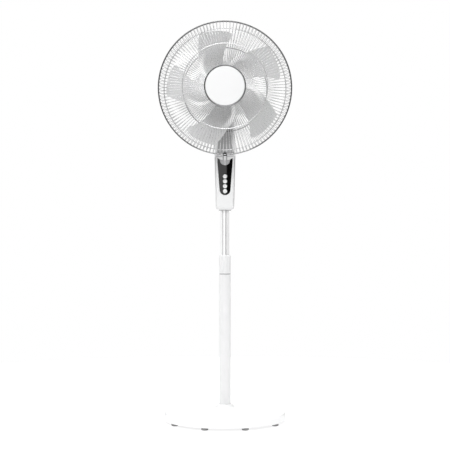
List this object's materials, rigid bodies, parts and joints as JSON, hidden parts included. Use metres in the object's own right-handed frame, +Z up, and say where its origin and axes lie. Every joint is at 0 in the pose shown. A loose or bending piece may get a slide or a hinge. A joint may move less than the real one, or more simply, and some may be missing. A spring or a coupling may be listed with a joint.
{
  "type": "pedestal fan",
  "caption": "Round-based pedestal fan with telescopic pole, control box, swinging and tilting wire-guarded head.",
  "frame": {"origin": "on the floor under the pole axis, at the centre of the round base", "axes": "+Z up along the pole, -Y the way the air blows, +X to the right of a person facing the fan"},
  "size_m": [0.44, 0.408, 1.329],
  "materials": {
    "white_plastic": "gloss",
    "white_paint": "gloss",
    "black_gloss": "mirror-like gloss",
    "neck_grey": "gloss",
    "window_grey": "satin, translucent look",
    "black_plastic": "satin",
    "grey_blade": "semi-gloss",
    "guard_wire": "bright plated wire",
    "trim_dark": "dark bright trim",
    "chrome_tube": "polished",
    "rubber_black": "matte",
    "steel": "plain zinc",
    "plate_steel": "satin",
    "iron_weight": "rough",
    "alloy": "cast",
    "board_green": "satin",
    "white_nylon": "satin",
    "bronze": "sintered",
    "lamination": "stacked sheets",
    "copper": "enamelled wire"
  },
  "bodies": {
    "stand": {"base_cover": "white_plastic", "base_plate": "plate_steel", "base_weight": "iron_weight", "base_feet": "rubber_black", "base_screws": "steel", "pole_foot": "alloy", "pole_tube": "white_paint", "collar_insert": "black_plastic"},
    "collar": {"height_collar": "white_plastic"},
    "column": {"inner_tube": "chrome_tube", "tube_stop": "black_plastic", "tube_ring": "black_plastic", "tube_socket": "alloy", "socket_screw": "steel", "box_front": "white_plastic", "box_rear": "white_plastic", "box_screws": "steel", "control_panel": "black_gloss", "receiver_window": "window_grey", "circuit_board": "board_green", "tact_switches": "black_plastic", "power_board": "board_green", "inner_screws": "steel", "cord_gland": "black_plastic", "pan_plate": "alloy", "swing_motor": "steel"},
    "button_1": {"button_1": "white_plastic"},
    "button_2": {"button_2": "white_plastic"},
    "button_3": {"button_3": "white_plastic"},
    "button_4": {"button_4": "white_plastic"},
    "pinion": {"swing_pinion": "white_nylon"},
    "neck": {"swing_gear": "white_nylon", "spindle_clip": "steel", "neck_frame": "white_paint", "neck_front": "neck_grey", "neck_shell": "white_plastic", "tilt_bolt": "trim_dark", "tilt_nut": "trim_dark"},
    "head": {"motor_bracket": "white_paint", "motor_front_shell": "white_plastic", "motor_rear_shell": "white_plastic", "shell_screws": "steel", "end_shields": "alloy", "tie_bolts": "steel", "bearings": "bronze", "stator": "lamination", "windings": "copper", "rear_guard_wires": "guard_wire", "rear_guard_rings": "guard_wire", "guard_nut": "black_plastic", "front_guard_wires": "guard_wire", "front_guard_rings": "guard_wire", "trim_ring": "trim_dark", "centre_disc": "white_plastic", "guard_clip": "black_plastic"},
    "rotor": {"rotor_core": "lamination", "motor_shaft": "steel", "drive_pin": "steel", "fan_blade": "grey_blade", "blade_nut": "grey_blade"}
  },
  "joints": [
    {"name": "height_slide", "type": "slide", "parent": "stand", "child": "column", "axis": [0, 0, 1], "range_m": [-0.145, 0]},
    {"name": "collar_turn", "type": "hinge", "parent": "stand", "child": "collar", "pos_m": [0, 0, 0.52], "axis": [0, 0, 1], "range_deg": [-90, 0]},
    {"name": "swing", "type": "hinge", "parent": "column", "child": "neck", "pos_m": [0, 0, 0.88], "axis": [0, 0, 1], "range_deg": [-40, 40]},
    {"name": "pinion_spin", "type": "hinge", "parent": "column", "child": "pinion", "pos_m": [0, 0.02, 0.869], "axis": [0, 0, 1], "range_deg": [-125, 125]},
    {"name": "head_tilt", "type": "hinge", "parent": "neck", "child": "head", "pos_m": [0, 0.008, 1.02], "axis": [-1, 0, 0], "range_deg": [-10, 20]},
    {"name": "fan_spin", "type": "hinge", "parent": "head", "child": "rotor", "pos_m": [0, -0.098, 1.109], "axis": [0, 1, 0], "continuous": true},
    {"name": "button_1_press", "type": "slide", "parent": "column", "child": "button_1", "axis": [0, 1, 0], "range_m": [0, 0.001], "stiffness_N_per_m": 800, "springref_m": -0.0005},
    {"name": "button_2_press", "type": "slide", "parent": "column", "child": "button_2", "axis": [0, 1, 0], "range_m": [0, 0.001], "stiffness_N_per_m": 800, "springref_m": -0.0005},
    {"name": "button_3_press", "type": "slide", "parent": "column", "child": "button_3", "axis": [0, 1, 0], "range_m": [0, 0.001], "stiffness_N_per_m": 800, "springref_m": -0.0005},
    {"name": "button_4_press", "type": "slide", "parent": "column", "child": "button_4", "axis": [0, 1, 0], "range_m": [0, 0.001], "stiffness_N_per_m": 800, "springref_m": -0.0005}
  ],
  "couplings": [
    {"joint": "pinion_spin", "follows": "swing", "ratio": -3}
  ]
}
